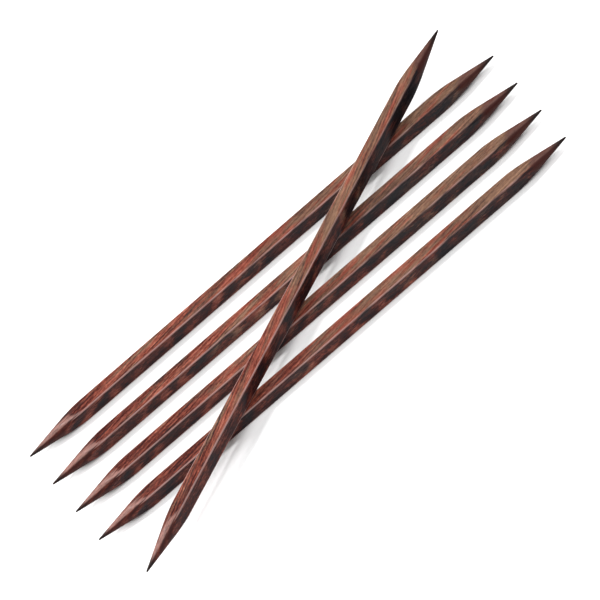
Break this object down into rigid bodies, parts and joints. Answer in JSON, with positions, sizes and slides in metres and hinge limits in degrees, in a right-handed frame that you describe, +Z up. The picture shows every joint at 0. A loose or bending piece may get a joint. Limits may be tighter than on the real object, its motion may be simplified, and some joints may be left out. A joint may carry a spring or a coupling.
{
  "type": "double-pointed knitting needles",
  "caption": "Square-section wooden knitting needles with a turned point at both ends, loose in a parallel row with another needle lying across the row.",
  "frame": {"origin": "middle of the box round the whole arrangement, on the plane that the parallel needles lie on", "axes": "+X along the parallel needles, +Y across them towards parallel_needle_1, +Z up"},
  "size_m": [0.206, 0.0982, 0.0103],
  "materials": {
    "dyed_wood": "satin lacquer over dyed laminated wood"
  },
  "bodies": {
    "parallel_needle_1": {"parallel_needle_1": "dyed_wood"},
    "parallel_needle_2": {"parallel_needle_2": "dyed_wood"},
    "parallel_needle_3": {"parallel_needle_3": "dyed_wood"},
    "parallel_needle_4": {"parallel_needle_4": "dyed_wood"},
    "crossing_needle": {"crossing_needle": "dyed_wood"}
  },
  "joints": [
    {"name": "parallel_needle_2_slide", "type": "slide", "parent": "parallel_needle_1", "child": "parallel_needle_2", "axis": [1, 0, 0], "range_m": [-0.21, 0.21]},
    {"name": "parallel_needle_3_slide", "type": "slide", "parent": "parallel_needle_1", "child": "parallel_needle_3", "axis": [1, 0, 0], "range_m": [-0.21, 0.21]},
    {"name": "parallel_needle_4_slide", "type": "slide", "parent": "parallel_needle_1", "child": "parallel_needle_4", "axis": [1, 0, 0], "range_m": [-0.21, 0.21]},
    {"name": "crossing_needle_lift", "type": "slide", "parent": "parallel_needle_1", "child": "crossing_needle", "axis": [0, 0, 1], "range_m": [0, 0.06]}
  ]
}
